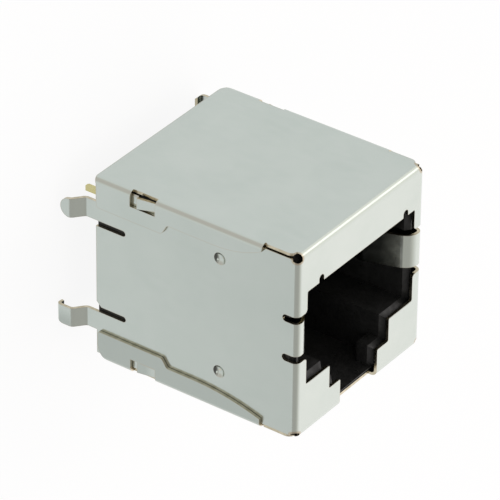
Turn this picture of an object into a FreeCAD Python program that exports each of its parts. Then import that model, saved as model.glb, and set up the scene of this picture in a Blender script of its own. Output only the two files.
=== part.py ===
import FreeCAD, Part
import math
import os

# Shielded modular jack for a circuit board, top entry: one folded tin-plated
# shield, a black housing with the plug cavity, a contact carrier and eight
# sprung contacts. Millimetres. The board's surface is z = 0 and the plug goes
# in from +Z. +Y is the contact side and -Y the latch side.

# Shield, one folded sheet
body_width = 13.9
body_height = 13.95
body_depth = 15.9
sheet = 0.2
bend_outside = 0.45
seam_gap = 0.08
flange_gap = 0.03
front_inset = 0.12
front_corner = 0.5
corner_hole_radius = 0.31
corner_hole_depth = 1.0

# Plug opening, the same in the shield's face and in the housing
opening_width = 11.83
opening_top = 3.935
opening_floor = -3.09
keyway_width = 6.62
keyway_floor = -4.845
latch_width = 4.14
latch_front_setback = 0.67
punch_corner = 0.12
notch_offset = 4.65
notch_shift = 0.24
notch_width = 0.52
notch_height = 0.5

# Flanges of the top and bottom panels, folded over the side walls
flange_depth = 2.2
flange_step_z = 5.4
flange_step_run = 0.42
flange_step_corner = 0.25
flange_rear = 0.2
flange_end_setback = 2.7
flange_relief = 0.12
flange_tip_room = 0.01
top_step = 0.775
top_taper_start = 9.5
top_tip_depth = 0.485
top_rear_corner = 0.0
right_rear_corner = 0.8
bottom_step = 0.62
bottom_taper_start = 7.7
bottom_tip_depth = 0.717
bottom_rear_corner = 1.3

# Lock windows in the flanges and the lances of the side walls behind them
window_rear = 2.9
window_front = 4.87
window_depth = 1.09
window_reach = 0.2
lance_setback = 0.52
lance_slit = 0.03
lance_slope = 0.2

# Fittings of the side walls
fitting_mid_y = 0.12
rear_slot_offset = 3.3
rear_slot_width = 0.42
rear_slot_length = 2.36
wall_corner_cut = 0.38
wall_edge = 0.1
dimple_mid_y = 0.24
dimple_offset = 4.305
dimple_z = 9.83
dimple_radius = 0.44
dimple_depth = 0.22
dimple_tip_radius = 0.25
dimple_sides = 8

# Solder tabs
tab_width = 1.42
tab_jog_start = 0.83
tab_jog_drop = 0.68
tab_jog_out = 0.82
tab_tip_depth = 2.24
tab_bend = 0.4
tab_end_roundness = 0.98
hook_bend = 0.2
hook_bend_depth = 2.62
hook_length = 0.45
hook_angle = 100.0

# Plug spring tangs, folded in round the front edges of the side walls
tang_mid_y = 0.65
tang_width = 2.46
tang_slot = 0.52
tang_slot_length = 1.17
slot_corner = 0.25
tang_turn_radius = 0.9
tang_mouth_angle = 31.0
tang_mouth_length = 0.75
tang_leaf_angle = 19.0
tang_leaf_length = 2.6
tang_tip_angle = 14.0
tang_tip_length = 0.8
tang_side_room = 0.2
tang_end_room = 0.7

# Housing
housing_gap = 0.05
housing_face_gap = 0.25
housing_edge = 0.32
cavity_inset = 0.03
mouth_chamfer = 0.32
cavity_back = 3.0
latch_floor_wall = 0.4
latch_shoulder = 1.15
foot_height = 0.25
foot_width = 1.2
foot_length = 3.9
dimple_room = 0.1

# Contact carrier, pushed into the housing from the board side
carrier_gap = 0.04
carrier_width = 10.4
carrier_low = -3.0
carrier_top_wall = 0.82
carrier_base_gap = 0.1
tongue_width = 9.3
tongue_room = 0.1
tongue_front_setback = 1.45
tongue_slot_depth = 0.55
tongue_face_slot = 0.4
groove_depth = 0.35
comb_below = 0.45
comb_above = 0.8
comb_reach = 1.6
pad_width = 4.4
pad_depth = 1.9

# Contacts
contact_count = 8
contact_pitch = 1.016
contact_width = 0.42
contact_thickness = 0.3
contact_side_room = 0.08
contact_bend = 0.3
nose_gap = 0.1
arm_start_room = 0.2
arm_end_y = 1.5
arm_end_height = 2.2
arm_tip_height = 0.45
tail_pitch = 1.27
tail_row_far = 3.85
tail_row_spacing = 2.54
tail_level = 1.6
tail_depth = 2.7
tail_point = 0.08

# Worked out from the sizes above
half_w = body_width / 2
half_h = body_height / 2
cap_half = half_w + flange_gap + sheet
wall_reach = half_h - sheet - seam_gap
bend_z = body_depth - bend_outside
lance_lift = flange_gap + sheet
housing_half_w = half_w - sheet - housing_gap
housing_half_h = half_h - sheet - housing_gap
housing_front = body_depth - sheet - housing_face_gap
latch_floor = latch_floor_wall - housing_half_h
flange_end_z = body_depth - flange_end_setback
carrier_high = housing_half_h - carrier_top_wall
carrier_base_height = cavity_back - carrier_base_gap
tongue_inner = opening_top - cavity_inset + tongue_room
tongue_front = housing_front - tongue_front_setback
tongue_core_front = tongue_front - tongue_slot_depth
tongue_core_inner = tongue_inner + tongue_face_slot
groove_floor = carrier_high - groove_depth
leg_y = groove_floor + contact_thickness / 2
nose_z = tongue_core_front + nose_gap + contact_thickness / 2
arm_start_y = tongue_inner + arm_start_room
arm_end_z = cavity_back + arm_end_height
arm_tip_z = cavity_back + arm_tip_height
over = 1.0


def box(x0, x1, y0, y1, z0, z1):
    corner = FreeCAD.Vector(min(x0, x1), min(y0, y1), min(z0, z1))
    return Part.makeBox(abs(x1 - x0), abs(y1 - y0), abs(z1 - z0), corner)


def both_sides(shape):
    """The shape and its mirror image on the other side wall."""
    return [shape, shape.mirror(FreeCAD.Vector(0, 0, 0), FreeCAD.Vector(1, 0, 0))]


def point_xz(x, z):
    return FreeCAD.Vector(x, 0, z)


def point_yz(y, z):
    return FreeCAD.Vector(0, y, z)


def corner_arc(before, corner, after, radius):
    """Start, middle and end of the arc that rounds one corner."""
    if radius <= 0:
        return corner, None, corner
    to_before = (before - corner).normalize()
    to_after = (after - corner).normalize()
    half_angle = to_before.getAngle(to_after) / 2
    run = radius / math.tan(half_angle)
    bisector = (to_before + to_after).normalize()
    middle = corner + bisector * (radius / math.sin(half_angle) - radius)
    return corner + to_before * run, middle, corner + to_after * run


def rounded_face(corners):
    """Flat face whose corners are (point, radius) pairs in order."""
    arcs = []
    for index, (corner, radius) in enumerate(corners):
        before = corners[index - 1][0]
        after = corners[(index + 1) % len(corners)][0]
        arcs.append(corner_arc(before, corner, after, radius))
    edges = []
    for index, (start, middle, end) in enumerate(arcs):
        if middle is not None:
            edges.append(Part.Arc(start, middle, end).toShape())
        following = arcs[(index + 1) % len(arcs)][0]
        if (following - end).Length > 1e-6:
            edges.append(Part.LineSegment(end, following).toShape())
    return Part.Face(Part.Wire(edges))


def polygon_face(points):
    return rounded_face([(point, 0) for point in points])


def strip_face(line, thickness):
    """Section of a bent strip: its centre line is (point, bend radius) pairs."""
    plane = (line[1][0] - line[0][0]).cross(line[-1][0] - line[0][0])
    if plane.Length < 1e-9:
        plane = FreeCAD.Vector(0, 1, 0)
    plane.normalize()
    left = []
    right = []
    for index, (point, radius) in enumerate(line):
        steps = []
        if index > 0:
            steps.append((point - line[index - 1][0]).normalize())
        if index < len(line) - 1:
            steps.append((line[index + 1][0] - point).normalize())
        sides = [plane.cross(step) for step in steps]
        side = (sides[0] + sides[-1]).normalize()
        reach = thickness / 2 / side.dot(sides[0])
        turn = 0
        if len(steps) == 2:
            turn = plane.dot(steps[0].cross(steps[1]))
        grow = math.copysign(thickness / 2, turn) if radius > 0 else 0
        left.append((point + side * reach, radius - grow))
        right.append((point - side * reach, radius + grow))
    return rounded_face(left + right[::-1])


def across(face, axis, low, high):
    """Solid of a face drawn in a plane through the origin, from low to high."""
    moved = face.translated(axis * low)
    return moved.extrude(axis * (high - low))


def along_x(face, low, high):
    return across(face, FreeCAD.Vector(1, 0, 0), low, high)


def along_y(face, low, high):
    return across(face, FreeCAD.Vector(0, 1, 0), low, high)


def quarter_ring_y(x_centre, z_centre, y0, y1):
    """Bend along Y whose outside faces +X and +Z."""
    base = FreeCAD.Vector(x_centre, y0, z_centre)
    axis = FreeCAD.Vector(0, 1, 0)
    outer = Part.makeCylinder(bend_outside, y1 - y0, base, axis)
    inner = Part.makeCylinder(bend_outside - sheet, y1 - y0, base, axis)
    corner = box(x_centre, x_centre + over, y0, y1, z_centre, z_centre + over)
    return outer.cut(inner).common(corner)


def quarter_ring_x(y_centre, z_centre, x0, x1):
    """Bend along X whose outside faces +Y and +Z."""
    base = FreeCAD.Vector(x0, y_centre, z_centre)
    axis = FreeCAD.Vector(1, 0, 0)
    outer = Part.makeCylinder(bend_outside, x1 - x0, base, axis)
    inner = Part.makeCylinder(bend_outside - sheet, x1 - x0, base, axis)
    corner = box(x0, x1, y_centre, y_centre + over, z_centre, z_centre + over)
    return outer.cut(inner).common(corner)


def quarter_ring_z(x_centre, y_centre, z0, z1):
    """Bend along Z whose outside faces +X and +Y."""
    base = FreeCAD.Vector(x_centre, y_centre, z0)
    outer = Part.makeCylinder(bend_outside, z1 - z0, base)
    inner = Part.makeCylinder(bend_outside - sheet, z1 - z0, base)
    corner = box(x_centre, x_centre + over, y_centre, y_centre + over, z0, z1)
    return outer.cut(inner).common(corner)


def opening_points(grow, bottom, z):
    """Stepped outline of the plug opening, grown on every side."""
    wide = opening_width / 2 + grow
    key = keyway_width / 2 + grow
    latch = latch_width / 2 + grow
    half = [
        (wide, opening_top + grow),
        (wide, opening_floor - grow),
        (key, opening_floor - grow),
        (key, keyway_floor - grow),
        (latch, keyway_floor - grow),
        (latch, bottom),
    ]
    whole = half + [(-x, y) for x, y in reversed(half)]
    return [FreeCAD.Vector(x, y, z) for x, y in whole]


def opening_prism(grow, bottom, z0, z1, corner=0):
    corners = [(point, corner) for point in opening_points(grow, bottom, z0)]
    return rounded_face(corners).extrude(FreeCAD.Vector(0, 0, z1 - z0))


def front_plate():
    """Front face with its four bends."""
    plate_x = half_w - bend_outside
    plate_y = half_h - bend_outside
    plate = box(-plate_x, plate_x, -plate_y, plate_y, body_depth - sheet, body_depth)
    side = quarter_ring_y(plate_x, bend_z, -plate_y, plate_y)
    top = quarter_ring_x(plate_y, bend_z, -plate_x, plate_x)
    bottom = top.mirror(FreeCAD.Vector(0, 0, 0), FreeCAD.Vector(0, 1, 0))
    return plate.multiFuse(both_sides(side) + [top, bottom])


def flange_outline(step, taper_start, tip_depth, rear_corner):
    """Bend and flange at the top panel's side, drawn in the YZ plane."""
    root = half_h - bend_outside
    low = half_h - flange_depth
    stepped = low + step
    tip = min(half_h - tip_depth, root - flange_tip_room)
    step_end = flange_step_z + flange_step_run
    corners = [(point_yz(half_h, flange_end_z), 0)]
    if rear_corner > 0:
        corners.append((point_yz(half_h, flange_rear), rear_corner))
    else:
        corners += [(point_yz(half_h, 0), 0), (point_yz(root, flange_rear), 0)]
    corners += [
        (point_yz(low, flange_rear), sheet),
        (point_yz(low, flange_step_z), flange_step_corner),
        (point_yz(stepped, step_end), flange_step_corner),
    ]
    run = flange_end_z - taper_start
    rise = tip - stepped
    radius = (run ** 2 + rise ** 2) / (2 * rise)
    corners.append((point_yz(stepped, taper_start + radius * rise / run), radius))
    corners.append((point_yz(tip, flange_end_z), 0))
    return rounded_face(corners)


def top_panel(step, taper_start, tip_depth, rear_corner):
    """Top panel with both flanges; the bottom panel is its mirror image."""
    bend_x = cap_half - bend_outside
    root = half_h - bend_outside
    panel_corner = rear_corner + flange_rear if rear_corner > 0 else 0
    rear = [
        (point_xz(-bend_x, 0), panel_corner),
        (point_xz(bend_x, 0), panel_corner),
        (point_xz(bend_x, flange_end_z), 0),
        (point_xz(-bend_x, flange_end_z), 0),
    ]
    panel = along_y(rounded_face(rear), half_h - sheet, half_h)
    front_x = half_w - front_inset
    ahead = [
        (point_xz(-front_x, flange_end_z), 0),
        (point_xz(front_x, flange_end_z), 0),
        (point_xz(front_x, bend_z), front_corner),
        (point_xz(-front_x, bend_z), front_corner),
    ]
    front = along_y(rounded_face(ahead), half_h - sheet, half_h)
    flange = box(cap_half - sheet, cap_half, half_h - flange_depth, root, 0, flange_end_z)
    skirt = quarter_ring_z(bend_x, root, 0, flange_end_z).fuse(flange)
    outline = flange_outline(step, taper_start, tip_depth, rear_corner)
    skirt = skirt.common(along_x(outline, bend_x, cap_half))
    relief = box(bend_x, cap_half, root, half_h, flange_end_z, flange_end_z + flange_relief)
    window_x = half_w - window_reach
    window_y = half_h - window_depth
    window = box(window_x, cap_half + over, window_y, half_h + over, window_rear, window_front)
    return panel.multiFuse([front] + both_sides(skirt)).cut(both_sides(window) + both_sides(relief))


def lance_outline(slit):
    """Edge of the lance in the YZ plane, grown by a slit at its free sides."""
    low = half_h - window_depth - slit
    free_end = window_rear + lance_setback - slit
    corners = [
        point_yz(wall_reach + over, free_end),
        point_yz(low, free_end),
        point_yz(low + lance_slope, window_front),
        point_yz(wall_reach + over, window_front),
    ]
    return along_x(polygon_face(corners), half_w - over, half_w + over)


def lance(mirror_y):
    """Sprung latch sheared from the right wall, and the room cut round it."""
    middle = half_w - sheet / 2
    line = [
        (point_xz(middle, window_front + sheet), 0),
        (point_xz(middle, window_front), sheet),
        (point_xz(middle + lance_lift, window_rear + lance_setback), 0),
    ]
    strip = along_y(strip_face(line, sheet), 0, wall_reach)
    root = box(half_w - over, half_w + over, half_h - window_depth + lance_slope, wall_reach,
               window_front, window_front + sheet)
    blade = strip.common(lance_outline(0).fuse(root))
    room = lance_outline(lance_slit)
    if mirror_y:
        normal = FreeCAD.Vector(0, 1, 0)
        blade = blade.mirror(FreeCAD.Vector(0, 0, 0), normal)
        room = room.mirror(FreeCAD.Vector(0, 0, 0), normal)
    return blade, room


def solder_tab(y_inner, direction, hooked):
    """Solder tab of the right wall, from its inner edge towards +Y or -Y."""
    middle = half_w - sheet / 2
    jog_end = -tab_jog_start - tab_jog_drop
    line = [
        (point_xz(middle, rear_slot_length), 0),
        (point_xz(middle, -tab_jog_start), tab_bend),
        (point_xz(middle + tab_jog_out, jog_end), tab_bend),
    ]
    tip = -tab_tip_depth
    if hooked:
        angle = math.radians(hook_angle)
        line.append((point_xz(middle + tab_jog_out, -hook_bend_depth), hook_bend))
        hook_x = middle + tab_jog_out - hook_length * math.sin(angle)
        line.append((point_xz(hook_x, -hook_bend_depth - hook_length * math.cos(angle)), 0))
        tip = -hook_bend_depth - sheet
    else:
        line.append((point_xz(middle + tab_jog_out, tip), 0))
    y_outer = y_inner + direction * tab_width
    blade = along_y(strip_face(line, sheet), min(y_inner, y_outer), max(y_inner, y_outer))
    end_radius = tab_width / 2 * tab_end_roundness
    outline = [
        (point_yz(y_outer, tip), end_radius),
        (point_yz(y_inner, tip), sheet if hooked else end_radius),
        (point_yz(y_inner, rear_slot_length), 0),
        (point_yz(y_outer, rear_slot_length), 0),
    ]
    return blade.common(along_x(rounded_face(outline), half_w - over, half_w + 2 * over))


def dimple_ring(x, y, radius):
    """Outline of the bump at one depth."""
    points = []
    for index in range(dimple_sides):
        angle = 2 * math.pi * index / dimple_sides
        points.append(FreeCAD.Vector(x, y + radius * math.cos(angle), dimple_z + radius * math.sin(angle)))
    return Part.Wire(Part.makePolygon(closed(points)))


def dimple(y):
    """Bump pressed inwards in the right wall, and the round hollow it leaves."""
    radius = (dimple_radius ** 2 + dimple_depth ** 2) / (2 * dimple_depth)
    hollow = Part.makeSphere(radius, FreeCAD.Vector(half_w - dimple_depth + radius, y, dimple_z))
    inner = half_w - sheet
    base = dimple_ring(inner, y, dimple_radius)
    tip = dimple_ring(inner - dimple_depth, y, dimple_tip_radius)
    return Part.makeLoft([base, tip], True, True), hollow


def side_wall():
    """Right side wall with tabs, slots, lances and dimples, before the tang."""
    wall = box(half_w - sheet, half_w, -wall_reach, wall_reach, 0, bend_z)
    edge = [
        FreeCAD.Vector(half_w - wall_edge, wall_reach, 0),
        FreeCAD.Vector(half_w, wall_reach - wall_edge, 0),
        FreeCAD.Vector(half_w, wall_reach, 0),
    ]
    edge = across(polygon_face(edge), FreeCAD.Vector(0, 0, 1), 0, flange_end_z)
    wall = wall.cut([edge, edge.mirror(FreeCAD.Vector(0, 0, 0), FreeCAD.Vector(0, 1, 0))])
    added = []
    removed = []
    for mirror_y in (False, True):
        blade, room = lance(mirror_y)
        wall = wall.cut(room)
        added.append(blade)
    for direction in (1, -1):
        slot_y = fitting_mid_y + direction * rear_slot_offset
        slot_half = rear_slot_width / 2
        slot_end = rear_slot_length - slot_half
        removed.append(box(half_w - over, half_w + over, slot_y - slot_half, slot_y + slot_half, -over, slot_end))
        base = FreeCAD.Vector(half_w - over, slot_y, slot_end)
        removed.append(Part.makeCylinder(slot_half, 2 * over, base, FreeCAD.Vector(1, 0, 0)))
        bump, hollow = dimple(dimple_mid_y + direction * dimple_offset)
        added.append(bump)
        removed.append(hollow)
    low_slot = fitting_mid_y - rear_slot_offset + rear_slot_width / 2
    corner = [
        point_yz(low_slot, 0),
        point_yz(low_slot + wall_corner_cut, 0),
        point_yz(low_slot, wall_corner_cut),
    ]
    removed.append(along_x(polygon_face(corner), half_w - over, half_w + over))
    return wall.multiFuse(added).cut(removed)


def wall_tabs(hook_low):
    """Both tabs of the right wall; the hooked one is low or high."""
    tabs = []
    for direction in (1, -1):
        inner = fitting_mid_y + direction * (rear_slot_offset + rear_slot_width / 2)
        tabs.append(solder_tab(inner, direction, hook_low == (direction < 0)))
    return tabs


def tang_room():
    """Front corner of the right wall that the tang and its slots take up."""
    y0 = tang_mid_y - tang_width / 2 - tang_slot
    y1 = tang_mid_y + tang_width / 2 + tang_slot
    root = body_depth - tang_slot_length + tang_slot / 2
    room = [box(opening_width / 2 - sheet, half_w + over, y0, y1, root, body_depth + over)]
    for y in (y0 + tang_slot / 2, y1 - tang_slot / 2):
        base = FreeCAD.Vector(half_w - over, y, root)
        room.append(Part.makeCylinder(tang_slot / 2, 2 * over, base, FreeCAD.Vector(1, 0, 0)))
    return room


def tang():
    """Strip of the right wall that turns in round the front as a plug spring."""
    middle = half_w - sheet / 2
    radius = bend_outside - sheet / 2
    front = body_depth - sheet / 2
    mouth = math.radians(tang_mouth_angle)
    leaf = math.radians(tang_leaf_angle)
    tip = math.radians(tang_tip_angle)
    turn_x = middle - radius - tang_turn_radius * math.tan((math.pi / 2 - mouth) / 2)
    turn = point_xz(turn_x, front)
    kink = turn + point_xz(-math.sin(mouth), -math.cos(mouth)) * tang_mouth_length
    end = kink + point_xz(-math.sin(leaf), -math.cos(leaf)) * tang_leaf_length
    last = end + point_xz(math.sin(tip), -math.cos(tip)) * tang_tip_length
    line = [
        (point_xz(middle, body_depth - tang_slot_length - over), 0),
        (point_xz(middle, front), radius),
        (turn, tang_turn_radius),
        (kink, radius),
        (end, radius),
        (last, 0),
    ]
    half = tang_width / 2
    return along_y(strip_face(line, sheet), tang_mid_y - half, tang_mid_y + half)


def face_notches():
    """Two small round-topped notches in the opening's top edge."""
    notches = []
    half = notch_width / 2
    top = opening_top + notch_height - half
    front = body_depth + over
    for x in (notch_shift - notch_offset, notch_shift + notch_offset):
        notches.append(box(x - half, x + half, opening_top - half, top, body_depth - over, front))
        notches.append(Part.makeCylinder(half, 2 * over, FreeCAD.Vector(x, top, body_depth - over)))
    return notches


def corner_holes():
    """Round relief holes where the folds meet at the four front corners."""
    holes = []
    for x in (-1, 1):
        for y in (-1, 1):
            outward = FreeCAD.Vector(x, y, 1).normalize()
            corner = FreeCAD.Vector(x * half_w, y * half_h, body_depth)
            start = corner - outward * corner_hole_depth
            holes.append(Part.makeCylinder(corner_hole_radius, corner_hole_depth, start, outward))
    return holes


def round_corner(x, y, side_x, side_y):
    """What rounds one corner of the face, which lies towards side_x and side_y."""
    centre_x = x + side_x * slot_corner
    centre_y = y + side_y * slot_corner
    low = body_depth - over
    square = box(x, centre_x, y, centre_y, low, body_depth + over)
    return square.cut(Part.makeCylinder(slot_corner, 2 * over, FreeCAD.Vector(centre_x, centre_y, low)))


def face_corners():
    """Rounding of the face where the tangs' slots open into the plug opening."""
    reach = tang_width / 2 + tang_slot
    upper = round_corner(opening_width / 2, tang_mid_y + reach, 1, 1)
    lower = round_corner(opening_width / 2, tang_mid_y - reach, 1, -1)
    return both_sides(upper) + both_sides(lower)


def right_rear_cut():
    """What rounds the rear end of the top panel's right bend."""
    x = cap_half - sheet
    root = half_h - bend_outside
    base = FreeCAD.Vector(x - right_rear_corner, root, right_rear_corner)
    square = box(x - right_rear_corner, cap_half + over, root, half_h + over, -over, right_rear_corner)
    return square.cut(Part.makeCylinder(right_rear_corner, 2 * over, base, FreeCAD.Vector(0, 1, 0)))


def make_shield():
    top = top_panel(top_step, top_taper_start, top_tip_depth, top_rear_corner)
    bottom = top_panel(bottom_step, bottom_taper_start, bottom_tip_depth, bottom_rear_corner)
    bottom = bottom.mirror(FreeCAD.Vector(0, 0, 0), FreeCAD.Vector(0, 1, 0))
    shield = front_plate().multiFuse([top, bottom] + both_sides(side_wall()))
    setback = body_depth - latch_front_setback
    cuts = [opening_prism(0, -half_h - over, setback, body_depth + over, punch_corner)]
    for room in tang_room():
        cuts += both_sides(room)
    shield = shield.cut(cuts + face_notches() + face_corners() + corner_holes() + [right_rear_cut()])
    left_tabs = [tab.mirror(FreeCAD.Vector(0, 0, 0), FreeCAD.Vector(1, 0, 0)) for tab in wall_tabs(True)]
    return shield.multiFuse(both_sides(tang()) + wall_tabs(False) + left_tabs).removeSplitter()


def mouth_bevel():
    """Lead-in round the plug cavity's mouth."""
    inner = -cavity_inset
    depth = housing_front - mouth_chamfer
    small = Part.Wire(Part.makePolygon(closed(opening_points(inner, latch_floor, depth))))
    large = Part.Wire(Part.makePolygon(closed(opening_points(inner + mouth_chamfer, latch_floor, housing_front))))
    return Part.makeLoft([small, large], True, True)


def closed(points):
    return points + [points[0]]


def carrier_seat(gap):
    """Space of the carrier in the housing, open to the board and the cavity."""
    half = carrier_width / 2 + gap
    base = box(-half, half, carrier_low - gap, carrier_high + gap, -over, cavity_back)
    tongue_half = tongue_width / 2 + gap
    tongue = box(-tongue_half, tongue_half, opening_top - over, carrier_high + gap, 0, tongue_front + 2 * gap)
    return base.fuse(tongue)


def housing_feet():
    feet = []
    for x in (-1, 1):
        for y in (-1, 1):
            edge_x = x * housing_half_w
            edge_y = y * housing_half_h
            feet.append(box(edge_x, edge_x - x * foot_width, edge_y, edge_y - y * foot_length, 0, foot_height))
    return feet


def make_housing():
    body = box(-housing_half_w, housing_half_w, -housing_half_h, housing_half_h, foot_height, housing_front)
    rim = [edge for edge in body.Edges if edge.CenterOfMass.z > housing_front - 1e-6]
    body = body.makeChamfer(housing_edge, rim)
    cavity = opening_prism(-cavity_inset, latch_floor, cavity_back, housing_front + over)
    latch_half = keyway_width / 2 - cavity_inset
    shoulder = housing_front - latch_shoulder
    latch = box(-latch_half, latch_half, latch_floor, keyway_floor + over, cavity_back, shoulder)
    tang_y0 = tang_mid_y - tang_width / 2 - tang_side_room
    tang_y1 = tang_mid_y + tang_width / 2 + tang_side_room
    leaf_drop = tang_mouth_length + tang_leaf_length + tang_tip_length + tang_end_room
    tang_z = body_depth - leaf_drop
    pocket = box(opening_width / 2 - over, half_w, tang_y0, tang_y1, tang_z, body_depth)
    hollows = []
    for direction in (1, -1):
        y = dimple_mid_y + direction * dimple_offset
        reach = dimple_radius + dimple_room
        floor = housing_half_w - dimple_depth
        hollow = box(floor, floor + over, y - reach, y + reach, dimple_z - reach, dimple_z + reach)
        hollows += both_sides(hollow)
    body = body.cut([cavity, latch, mouth_bevel(), carrier_seat(carrier_gap)] + both_sides(pocket) + hollows)
    return body.multiFuse(housing_feet()).removeSplitter()


def contact_x(index, pitch):
    return (index - (contact_count - 1) / 2) * pitch


def contact_spring(x):
    """Leg, nose and sprung arm of one contact, at its place in the cavity."""
    line = [
        (point_yz(leg_y, tail_level), 0),
        (point_yz(leg_y, nose_z), contact_bend),
        (point_yz(arm_start_y, nose_z), contact_bend),
        (point_yz(arm_end_y, arm_end_z), contact_bend),
        (point_yz(arm_end_y, arm_tip_z), 0),
    ]
    half = contact_width / 2
    return along_x(strip_face(line, contact_thickness), x - half, x + half)


def contact_tail(x, y):
    """Straight solder tail with a tapered point."""
    half = contact_width / 2
    outline = [
        point_xz(x - half, tail_level),
        point_xz(x - half, tail_point - tail_depth),
        point_xz(x - half / 2, -tail_depth),
        point_xz(x + half / 2, -tail_depth),
        point_xz(x + half, tail_point - tail_depth),
        point_xz(x + half, tail_level),
    ]
    return along_y(polygon_face(outline), y - contact_thickness / 2, y + contact_thickness / 2)


def contact_link(x0, y0, x1, y1):
    """Flat bar inside the carrier from the leg to the tail."""
    start = FreeCAD.Vector(x0, y0, 0)
    end = FreeCAD.Vector(x1, y1, 0)
    step = end - start
    angle = math.degrees(math.atan2(step.y, step.x))
    half = contact_width / 2
    reach = contact_thickness / 2
    z0 = tail_level - contact_thickness
    bar = box(0, step.Length + reach, -half, half, z0, tail_level)
    bar.rotate(FreeCAD.Vector(0, 0, 0), FreeCAD.Vector(0, 0, 1), angle)
    return bar.translated(start)


def make_contact(index):
    x = contact_x(index, contact_pitch)
    tail_x = contact_x(index, tail_pitch)
    tail_y = tail_row_far - tail_row_spacing * (index % 2)
    half = contact_width / 2
    y0 = leg_y - contact_thickness / 2
    y1 = leg_y + contact_thickness / 2
    foot = box(x - half, x + half, y0, y1, tail_level - contact_thickness, tail_level)
    link = contact_link(x, leg_y, tail_x, tail_y)
    contact = contact_spring(x).multiFuse([foot, link, contact_tail(tail_x, tail_y)])
    return contact.removeSplitter()


def make_carrier(contacts):
    half = carrier_width / 2
    base = box(-half, half, carrier_low, carrier_high, foot_height, carrier_base_height)
    tongue_half = tongue_width / 2
    tongue = box(-tongue_half, tongue_half, tongue_inner, carrier_high, carrier_base_height, tongue_front)
    comb_low = arm_end_y - comb_below
    comb_high = arm_end_y + comb_above
    comb_front = carrier_base_height + comb_reach
    comb = box(-tongue_half, tongue_half, comb_low, comb_high, carrier_base_height, comb_front)
    pad = box(-pad_width / 2, pad_width / 2, -pad_depth / 2, pad_depth / 2, 0, foot_height)
    carrier = base.multiFuse([tongue, comb, pad])
    slots = []
    slot_half = contact_width / 2 + contact_side_room
    for index in range(contact_count):
        x = contact_x(index, contact_pitch)
        x0 = x - slot_half
        x1 = x + slot_half
        slots.append(box(x0, x1, groove_floor, carrier_high + over, carrier_base_height, tongue_front))
        slots.append(box(x0, x1, tongue_inner, carrier_high, tongue_core_front, tongue_front + over))
        slots.append(box(x0, x1, tongue_inner - over, tongue_core_inner, carrier_base_height, tongue_front))
        slots.append(box(x0, x1, comb_low - over, comb_high + over, carrier_base_height, comb_front + over))
    return carrier.cut(slots + contacts).removeSplitter()


def main():
    os.makedirs("parts", exist_ok=True)
    contacts = [make_contact(index) for index in range(contact_count)]
    nodes = {"shield": make_shield(), "housing": make_housing(), "contact_carrier": make_carrier(contacts)}
    for index, contact in enumerate(contacts):
        nodes["contact_%d" % (index + 1)] = contact
    for name, shape in nodes.items():
        shape.exportStep("parts/%s.step" % name)
        size = shape.BoundBox
        print(name, shape.isValid(), len(shape.Solids), round(shape.Volume, 3), size)


main()
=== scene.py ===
"""Looks of a shielded modular jack: tin-plated shield, black housing, gold contacts, on a pale floor."""

import math
from collections import namedtuple

import bpy
from mathutils import Matrix, Vector


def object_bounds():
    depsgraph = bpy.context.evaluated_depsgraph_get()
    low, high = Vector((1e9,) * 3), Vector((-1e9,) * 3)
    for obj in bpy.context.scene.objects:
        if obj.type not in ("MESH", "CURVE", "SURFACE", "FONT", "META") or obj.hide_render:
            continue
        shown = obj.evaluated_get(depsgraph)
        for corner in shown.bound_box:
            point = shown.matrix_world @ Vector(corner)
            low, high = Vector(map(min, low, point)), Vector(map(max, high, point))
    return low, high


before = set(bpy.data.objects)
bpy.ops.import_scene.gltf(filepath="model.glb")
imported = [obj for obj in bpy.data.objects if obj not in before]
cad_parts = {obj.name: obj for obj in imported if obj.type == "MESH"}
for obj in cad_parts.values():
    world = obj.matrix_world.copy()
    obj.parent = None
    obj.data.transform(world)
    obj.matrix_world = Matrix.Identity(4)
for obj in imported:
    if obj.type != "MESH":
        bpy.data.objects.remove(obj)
cad_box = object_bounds()

MM = 0.001

# The shield's sizes that its wear and painted shade follow
SHEET = 0.2 * MM
FLANGE_FACE = 7.18 * MM
FRONT_CORNER = Vector((6.95, 6.975, 15.9)) * MM
HOLE_AXIS = Vector((1, 1, 1)).normalized()
HOLE_RIM = 0.44 * MM
TANG_KINK = 5.6 * MM
DIMPLE_PLACE = 9.83 * MM
DIMPLE_RADIUS = 0.44 * MM
BURR = 0.12 * MM
BURR_SAMPLES = 6

# The ray that finds cut edges: it starts just under the surface and reaches past the sheet
RAY_START = SHEET / 10
RAY_LENGTH = SHEET * 1.6

# Where each mask begins and where it is full. The first five measure the normal, the rest the place
BENT = (0.99, 0.86)
BENT_ALONG_DEPTH = (0.36, 0.49)
FACING_SIDEWAYS = (0.9, 0.99)
DIMPLE_TILT = (0.36, 0.55)
EDGE_TURN = (0.975, 0.86)
REAR_TO_FRONT = (0, 15 * MM)
ON_FLANGE = (FLANGE_FACE - SHEET, FLANGE_FACE - SHEET / 2)
LOW = (-3.5 * MM, -4.5 * MM)
PAST_KINK = (TANG_KINK, TANG_KINK - SHEET / 4)
TANG_MIDDLE = (3.2 * MM, 3 * MM)
PAST_DIMPLE_REAR = (DIMPLE_PLACE - DIMPLE_RADIUS * 1.1, DIMPLE_PLACE - DIMPLE_RADIUS)
BEHIND_DIMPLE_FRONT = (DIMPLE_PLACE + DIMPLE_RADIUS, DIMPLE_PLACE)
NEAR_HOLE = (HOLE_RIM, HOLE_RIM * 0.9)

# How much of its colour each mask gives where it begins and where it is full
WHOLE = (0, 1)
STREAK_SHARE = (0, 0.3)
# Painted shade on the side walls and the lower flanges
SIDE_SHADE_SHARE = (0.1, 0.5)
LOW_FLANGE_SHADE_SHARE = (0, 0.95)
EDGE_SHARE = (0, 0.7)
RIM_SHARE = (0, 0.85)
# Painted shade on the tangs past their kink
TANG_SHADE_SHARE = (0.55, 0.95)
# Painted shade in the dimples' hollows
DIMPLE_SHADE_SHARE = (0, 0.9)

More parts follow.
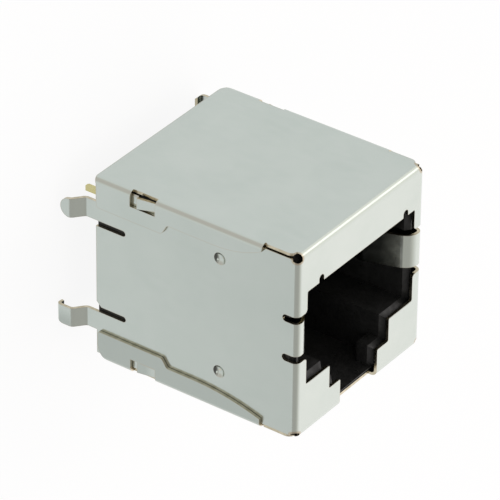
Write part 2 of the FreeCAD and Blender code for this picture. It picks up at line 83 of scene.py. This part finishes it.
# Noise: waves per metre, detail, the part of its range that is used, and how it is stretched
Pattern = namedtuple("Pattern", "waves detail spread stretch", defaults=[(0, 1), (1, 1, 1)])
TIN_CLOUDS = Pattern(260, 4, (0.3, 0.7))
TIN_STREAKS = Pattern(1600, 2, (0.35, 0.75), (1, 1, 0.4))
TIN_SATIN = Pattern(1500, 3, (0.3, 0.7))
TIN_PORES = Pattern(9000, 3)
CUT_GRAIN = Pattern(3000, 2, (0.35, 0.65))
# Patches of the tangs' painted shade
TANG_SHADE_PATCHES = Pattern(900, 3, (0.3, 0.7))
PLASTIC_SPECKLE = Pattern(4000, 2, (0.35, 0.65))
PLASTIC_SATIN = Pattern(1200, 3, (0.3, 0.7))
PLASTIC_WAVES = Pattern(700, 3)
GOLD_TONE = Pattern(1200, 2, (0.3, 0.7))
GOLD_SATIN = Pattern(3000, 2, (0.3, 0.7))

TIN_ROUGHNESS = (0.18, 0.25)
TIN_PORE_DEPTH = 0.002 * MM
PLASTIC_ROUGHNESS = (0.26, 0.6)
PLASTIC_GLOSS = 0.35
PLASTIC_WAVE_DEPTH = 0.12 * MM
SPECKLE_BRIGHTER = 1.5
GOLD_ROUGHNESS = (0.22, 0.32)

WHITE = (1, 1, 1, 1)
TIN = (0.50, 0.555, 0.52, 1)
TIN_PALE = (0.535, 0.585, 0.55, 1)
TIN_STREAK = (0.55, 0.59, 0.565, 1)
# Painted shade of the side walls and the lower flanges
TIN_SIDE_SHADE = (0.40, 0.44, 0.41, 1)
TIN_BENT = (0.50, 0.545, 0.49, 1)
# Painted shade of the bends that run along the part's depth
TIN_BEND_SHADE = (0.42, 0.42, 0.37, 1)
# Bare metal on sharp edges, and painted shade in the thin gaps beside them
WORN_EDGE_AND_GAP_SHADE = (0.46, 0.41, 0.33, 1)
WORN_RIM = (0.42, 0.37, 0.28, 1)
# Painted shade of the tangs past their kink
TANG_SHADE = (0.11, 0.12, 0.11, 1)
# Painted shade of the dimples' hollows
DIMPLE_SHADE = (0.07, 0.075, 0.07, 1)
CUT_STEEL = (0.43, 0.39, 0.28, 1)
CUT_STEEL_PALE = (0.58, 0.53, 0.41, 1)
HOUSING_BLACK = (0.013, 0.0135, 0.013, 1)
CARRIER_BLACK = (0.013, 0.013, 0.012, 1)
GOLD = (0.55, 0.50, 0.235, 1)
GOLD_PALE = (0.62, 0.575, 0.31, 1)

# The camera, solved from the object's straight edges
CAMERA_PLACE = Vector((-208.66, 169.05, 156.97)) * MM
CAMERA_AIM = Vector((0.24, 0.32, 7.0)) * MM
CAMERA_ROLL = math.radians(-0.7)
CAMERA_LENS = 342.5
CAMERA_SENSOR = 36.0
CAMERA_NEAREST = 0.01
CAMERA_FARTHEST = 20

# Light: the room is bright on the object's right and dim on its left
ROOM_COLOUR = (1.0, 0.955, 0.94, 1)
ROOM_SIDES = (-0.35, 0.5)
ROOM_STRENGTH = (0.62, 1.34)
FLOOR_COLOUR = (0.80, 0.80, 0.80, 1)
FLOOR_ROUGHNESS = 0.9
FLOOR_GLOW = (0, 0.9)
FLOOR_SIZE = 4
LAMP_DISTANCE = 0.4
SOFTBOX_DIRECTION = Vector((0.68, 0.485, 0.55))
SOFTBOX_SIZE = 0.16
SOFTBOX_POWER = 0.06
SPARKLE_DIRECTION = Vector((-0.85, 0.12, 0.375))
SPARKLE_SIZE = 0.1
SPARKLE_POWER = 0.09


def put(tree, socket, value):
    """Links the value to the socket where another node gives it, and sets it there otherwise."""
    if isinstance(value, bpy.types.NodeSocket):
        tree.links.new(value, socket)
    else:
        socket.default_value = value


def operate(tree, kind, operation, values):
    node = tree.nodes.new(kind)
    node.operation = operation
    for socket, value in zip(node.inputs, values):
        put(tree, socket, value)
    return node.outputs


def calculate(tree, operation, *values):
    return operate(tree, "ShaderNodeMath", operation, values)[0]


def calculate_vector(tree, operation, *values):
    """Vector maths. A length and a dot product come out as a number, the rest as a vector."""
    outputs = operate(tree, "ShaderNodeVectorMath", operation, values)
    return outputs["Value" if operation in ("LENGTH", "DOT_PRODUCT") else "Vector"]


def mix_colour(tree, factor, first, second):
    """The Mix node has sockets for each kind of value, and those of colours are numbers 6, 7 and 2."""
    node = tree.nodes.new("ShaderNodeMix")
    node.data_type = "RGBA"
    put(tree, node.inputs[0], factor)
    put(tree, node.inputs[6], first)
    put(tree, node.inputs[7], second)
    return node.outputs[2]


def remap(tree, value, source, target):
    """Takes the value from the source range to the target range, and holds it at the target's ends."""
    node = tree.nodes.new("ShaderNodeMapRange")
    node.inputs["From Min"].default_value, node.inputs["From Max"].default_value = source
    node.inputs["To Min"].default_value, node.inputs["To Max"].default_value = target
    tree.links.new(value, node.inputs["Value"])
    return node.outputs["Result"]


def coordinates(tree, kind):
    """The part's own place (Object) or normal (Normal), or the world's direction (Generated)."""
    return tree.nodes.new("ShaderNodeTexCoord").outputs[kind]


def axes(tree, kind):
    split = tree.nodes.new("ShaderNodeSeparateXYZ")
    tree.links.new(coordinates(tree, kind), split.inputs[0])
    return split.outputs


def noise(tree, pattern):
    """Noise in the part's own coordinates, over its whole range."""
    mapping = tree.nodes.new("ShaderNodeMapping")
    mapping.inputs["Scale"].default_value = pattern.stretch
    texture = tree.nodes.new("ShaderNodeTexNoise")
    texture.inputs["Scale"].default_value = pattern.waves
    texture.inputs["Detail"].default_value = pattern.detail
    tree.links.new(coordinates(tree, "Object"), mapping.inputs["Vector"])
    tree.links.new(mapping.outputs["Vector"], texture.inputs["Vector"])
    return texture.outputs["Fac"]


def patches(tree, pattern, target=WHOLE):
    """Noise with the used part of its range taken to the target range."""
    return remap(tree, noise(tree, pattern), pattern.spread, target)


def new_material(name):
    material = bpy.data.materials.new(name)
    material.use_nodes = True
    return material, material.node_tree, material.node_tree.nodes["Principled BSDF"]


def bump(tree, shader, height, depth):
    node = tree.nodes.new("ShaderNodeBump")
    node.inputs["Distance"].default_value = depth
    node.inputs["Strength"].default_value = 1.0
    tree.links.new(height, node.inputs["Height"])
    tree.links.new(node.outputs["Normal"], shader.inputs["Normal"])


def bent_metal(tree):
    """Two masks: 1 on every bend of the sheet, and 1 on the bends that run along the part's depth, which
    get painted shade.
    """
    facing = axes(tree, "Normal")
    x, y, z = [calculate(tree, "ABSOLUTE", facing[axis]) for axis in "XYZ"]
    largest = calculate(tree, "MAXIMUM", calculate(tree, "MAXIMUM", x, y), z)
    bent = remap(tree, largest, BENT, WHOLE)
    shaded_bend = remap(tree, calculate(tree, "MULTIPLY", x, y), BENT_ALONG_DEPTH, WHOLE)
    return bent, shaded_bend


def side_wall_painted_shade(tree):
    """Painted shade on the side walls: more towards the face, most on the lower flanges."""
    place = axes(tree, "Object")
    facing_x = calculate(tree, "ABSOLUTE", axes(tree, "Normal")["X"])
    sideways = remap(tree, facing_x, FACING_SIDEWAYS, WHOLE)
    forward = remap(tree, place["Z"], REAR_TO_FRONT, SIDE_SHADE_SHARE)
    flange = remap(tree, calculate(tree, "ABSOLUTE", place["X"]), ON_FLANGE, WHOLE)
    low = remap(tree, place["Y"], LOW, LOW_FLANGE_SHADE_SHARE)
    side_shade = calculate(tree, "MAXIMUM", forward, calculate(tree, "MULTIPLY", flange, low))
    return calculate(tree, "MULTIPLY", sideways, side_shade)


def tang_painted_shade(tree):
    """Painted shade, in patches, on the plug spring tangs past their kink."""
    place = axes(tree, "Object")
    across, along = [calculate(tree, "ABSOLUTE", place[axis]) for axis in "XY"]
    inside = remap(tree, across, PAST_KINK, WHOLE)
    middle = remap(tree, along, TANG_MIDDLE, WHOLE)
    patchy_shade = patches(tree, TANG_SHADE_PATCHES, TANG_SHADE_SHARE)
    return calculate(tree, "MULTIPLY", patchy_shade, calculate(tree, "MULTIPLY", inside, middle))


def dimple_painted_shade(tree):
    """Painted shade on the rear part of the dimples' hollows."""
    place = axes(tree, "Object")
    behind = remap(tree, place["Z"], PAST_DIMPLE_REAR, WHOLE)
    before = remap(tree, place["Z"], BEHIND_DIMPLE_FRONT, WHOLE)
    tilted = remap(tree, axes(tree, "Normal")["Z"], DIMPLE_TILT, DIMPLE_SHADE_SHARE)
    return calculate(tree, "MULTIPLY", tilted, calculate(tree, "MULTIPLY", behind, before))


def hole_rim(tree):
    """How burnished the relief holes' rims at the face's corners are, by the distance to their axes."""
    folded = calculate_vector(tree, "ABSOLUTE", coordinates(tree, "Object"))
    offset = calculate_vector(tree, "SUBTRACT", folded, FRONT_CORNER)
    off_axis = calculate_vector(tree, "CROSS_PRODUCT", offset, HOLE_AXIS)
    return remap(tree, calculate_vector(tree, "LENGTH", off_axis), NEAR_HOLE, RIM_SHARE)


def edge_wear_and_gap_shade(tree):
    """How bare the sheet's sharp edges are, with painted shade along the thin gaps beside them, by how
    far a rounded normal turns from the true one.
    """
    bevel = tree.nodes.new("ShaderNodeBevel")
    bevel.samples = BURR_SAMPLES
    bevel.inputs["Radius"].default_value = BURR
    normal = tree.nodes.new("ShaderNodeNewGeometry").outputs["Normal"]
    turn = calculate_vector(tree, "DOT_PRODUCT", bevel.outputs["Normal"], normal)
    return remap(tree, turn, EDGE_TURN, EDGE_SHARE)


def cut_edge(tree):
    """1 on the faces that cut_edge_modifier marks."""
    attribute = tree.nodes.new("ShaderNodeAttribute")
    attribute.attribute_name = "cut_edge"
    return attribute.outputs["Fac"]


def tin_plate():
    """Satin tin plate: faint clouds and rolling streaks, wear, bare metal at the cut edges, and painted
    shade on the side walls, the bends along the depth, the tangs, the dimples' hollows and the gaps
    beside sharp edges.
    """
    material, tree, shader = new_material("tin_plate")
    shader.inputs["Metallic"].default_value = 1.0
    plate = mix_colour(tree, patches(tree, TIN_CLOUDS), TIN, TIN_PALE)
    bent, shaded_bend = bent_metal(tree)
    bare = mix_colour(tree, patches(tree, CUT_GRAIN), CUT_STEEL, CUT_STEEL_PALE)
    layers = (
        (patches(tree, TIN_STREAKS, STREAK_SHARE), TIN_STREAK),
        # painted shade on the side walls and the lower flanges
        (side_wall_painted_shade(tree), TIN_SIDE_SHADE),
        (bent, TIN_BENT),
        # painted shade on the bends along the depth
        (shaded_bend, TIN_BEND_SHADE),
        # bare sharp edges, and painted shade along the thin gaps beside them
        (edge_wear_and_gap_shade(tree), WORN_EDGE_AND_GAP_SHADE),
        (hole_rim(tree), WORN_RIM),
        # painted shade on the tangs past their kink
        (tang_painted_shade(tree), TANG_SHADE),
        # painted shade in the rear of the dimples' hollows
        (dimple_painted_shade(tree), DIMPLE_SHADE),
        (cut_edge(tree), bare),
    )
    for mask, colour in layers:
        plate = mix_colour(tree, mask, plate, colour)
    tree.links.new(plate, shader.inputs["Base Color"])
    tree.links.new(patches(tree, TIN_SATIN, TIN_ROUGHNESS), shader.inputs["Roughness"])
    bump(tree, shader, noise(tree, TIN_PORES), TIN_PORE_DEPTH)
    return material


def black_plastic(name, colour):
    material, tree, shader = new_material(name)
    lighter = tuple(channel * SPECKLE_BRIGHTER for channel in colour[:3]) + (1,)
    speckled = mix_colour(tree, patches(tree, PLASTIC_SPECKLE), colour, lighter)
    tree.links.new(speckled, shader.inputs["Base Color"])
    tree.links.new(patches(tree, PLASTIC_SATIN, PLASTIC_ROUGHNESS), shader.inputs["Roughness"])
    shader.inputs["Specular IOR Level"].default_value = PLASTIC_GLOSS
    bump(tree, shader, noise(tree, PLASTIC_WAVES), PLASTIC_WAVE_DEPTH)
    return material


def gold_plate():
    material, tree, shader = new_material("gold_plate")
    shader.inputs["Metallic"].default_value = 1.0
    gold = mix_colour(tree, patches(tree, GOLD_TONE), GOLD, GOLD_PALE)
    tree.links.new(gold, shader.inputs["Base Color"])
    tree.links.new(patches(tree, GOLD_SATIN, GOLD_ROUGHNESS), shader.inputs["Roughness"])
    return material


def cut_edge_modifier(node):
    """Marks the faces whose inward ray doesn't meet the sheet's other side within its thickness.

    The ray is cast in millimetres, because it would miss small faces in metres.
    """
    group = bpy.data.node_groups.new("cut_edges", "GeometryNodeTree")
    group.interface.new_socket("Geometry", in_out="INPUT", socket_type="NodeSocketGeometry")
    group.interface.new_socket("Geometry", in_out="OUTPUT", socket_type="NodeSocketGeometry")
    source = group.nodes.new("NodeGroupInput").outputs[0]
    result = group.nodes.new("NodeGroupOutput").inputs[0]
    position = group.nodes.new("GeometryNodeInputPosition").outputs["Position"]
    normal = group.nodes.new("GeometryNodeInputNormal").outputs["Normal"]
    inward = calculate_vector(group, "MULTIPLY", normal, (-1,) * 3)
    start = calculate_vector(group, "MULTIPLY_ADD", inward, (RAY_START,) * 3, position)
    enlarged = group.nodes.new("GeometryNodeTransform")
    enlarged.inputs["Scale"].default_value = (1 / MM,) * 3
    group.links.new(source, enlarged.inputs["Geometry"])
    raycast = group.nodes.new("GeometryNodeRaycast")
    raycast.data_type = "FLOAT"
    raycast.inputs["Ray Length"].default_value = RAY_LENGTH / MM
    group.links.new(enlarged.outputs["Geometry"], raycast.inputs["Target Geometry"])
    start_in_mm = calculate_vector(group, "MULTIPLY", start, (1 / MM,) * 3)
    group.links.new(start_in_mm, raycast.inputs["Source Position"])
    group.links.new(inward, raycast.inputs["Ray Direction"])
    missed = operate(group, "FunctionNodeBooleanMath", "NOT", [raycast.outputs["Is Hit"]])[0]
    store = group.nodes.new("GeometryNodeStoreNamedAttribute")
    store.data_type = "FLOAT"
    store.domain = "FACE"
    store.inputs["Name"].default_value = "cut_edge"
    group.links.new(source, store.inputs["Geometry"])
    group.links.new(missed, store.inputs["Value"])
    group.links.new(store.outputs["Geometry"], result)
    node.modifiers.new("cut_edges", "NODES").node_group = group


def dress(node, material):
    node.data.materials.clear()
    node.data.materials.append(material)


def dress_nodes(nodes):
    dress(nodes["shield"], tin_plate())
    cut_edge_modifier(nodes["shield"])
    dress(nodes["housing"], black_plastic("housing_black", HOUSING_BLACK))
    dress(nodes["contact_carrier"], black_plastic("carrier_black", CARRIER_BLACK))
    gold = gold_plate()
    for name, node in nodes.items():
        if name.startswith("contact_") and name != "contact_carrier":
            dress(node, gold)


def seen_directly(tree):
    """1 for the camera, for reflections and for what shows through glass."""
    path = tree.nodes.new("ShaderNodeLightPath")
    seen = path.outputs["Is Camera Ray"]
    for output in ("Is Glossy Ray", "Is Transmission Ray"):
        seen = calculate(tree, "MAXIMUM", seen, path.outputs[output])
    return seen


def make_floor(lowest):
    """Plain white floor. What is seen of it is part white glow, which leaves a faint shadow."""
    bpy.ops.mesh.primitive_plane_add(size=FLOOR_SIZE, location=(0, 0, lowest))
    floor = bpy.context.object
    floor.name = "floor"
    material, tree, shader = new_material("floor_white")
    seen = seen_directly(tree)
    tree.links.new(mix_colour(tree, seen, FLOOR_COLOUR, WHITE), shader.inputs["Base Color"])
    shader.inputs["Roughness"].default_value = FLOOR_ROUGHNESS
    shader.inputs["Specular IOR Level"].default_value = 0.0
    glow = tree.nodes.new("ShaderNodeEmission")
    glow.inputs["Color"].default_value = WHITE
    glow.inputs["Strength"].default_value = 1.0
    mixed = tree.nodes.new("ShaderNodeMixShader")
    tree.links.new(remap(tree, seen, WHOLE, FLOOR_GLOW), mixed.inputs["Fac"])
    tree.links.new(shader.outputs["BSDF"], mixed.inputs[1])
    tree.links.new(glow.outputs["Emission"], mixed.inputs[2])
    tree.links.new(mixed.outputs["Shader"], tree.nodes["Material Output"].inputs["Surface"])
    dress(floor, material)


def make_world():
    """Soft room light that falls off from the object's right to its left."""
    world = bpy.data.worlds.new("studio")
    world.use_nodes = True
    tree = world.node_tree
    background = tree.nodes["Background"]
    background.inputs["Color"].default_value = ROOM_COLOUR
    strength = remap(tree, axes(tree, "Generated")["X"], ROOM_SIDES, ROOM_STRENGTH)
    tree.links.new(strength, background.inputs["Strength"])
    bpy.context.scene.world = world


def area_light(name, direction, size, power):
    """Round lamp that lies in the direction from the camera's aim and faces it."""
    data = bpy.data.lights.new(name, "AREA")
    data.shape = "DISK"
    data.size = size
    data.energy = power
    light = bpy.data.objects.new(name, data)
    towards = direction.normalized()
    light.location = CAMERA_AIM + towards * LAMP_DISTANCE
    light.rotation_mode = "QUATERNION"
    light.rotation_quaternion = towards.to_track_quat("Z", "Y")
    bpy.context.scene.collection.objects.link(light)


def make_camera():
    """The camera at the photo's angle, with the part's +Y upward in the picture."""
    data = bpy.data.cameras.new("camera")
    data.lens = CAMERA_LENS
    data.sensor_width = CAMERA_SENSOR
    data.clip_start = CAMERA_NEAREST
    data.clip_end = CAMERA_FARTHEST
    camera = bpy.data.objects.new("camera", data)
    back = (CAMERA_PLACE - CAMERA_AIM).normalized()
    up = Vector((0, 1, 0))
    up = (up - back * up.dot(back)).normalized()
    right = up.cross(back)
    turn = Matrix((right, up, back)).transposed() @ Matrix.Rotation(-CAMERA_ROLL, 3, "Z")
    camera.matrix_world = Matrix.Translation(CAMERA_PLACE) @ turn.to_4x4()
    bpy.context.scene.collection.objects.link(camera)
    bpy.context.scene.camera = camera


dress_nodes(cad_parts)
make_floor(cad_box[0].z)
make_world()
area_light("softbox", SOFTBOX_DIRECTION, SOFTBOX_SIZE, SOFTBOX_POWER)
area_light("sparkle", SPARKLE_DIRECTION, SPARKLE_SIZE, SPARKLE_POWER)
make_camera()
bpy.context.scene.view_settings.view_transform = "Standard"
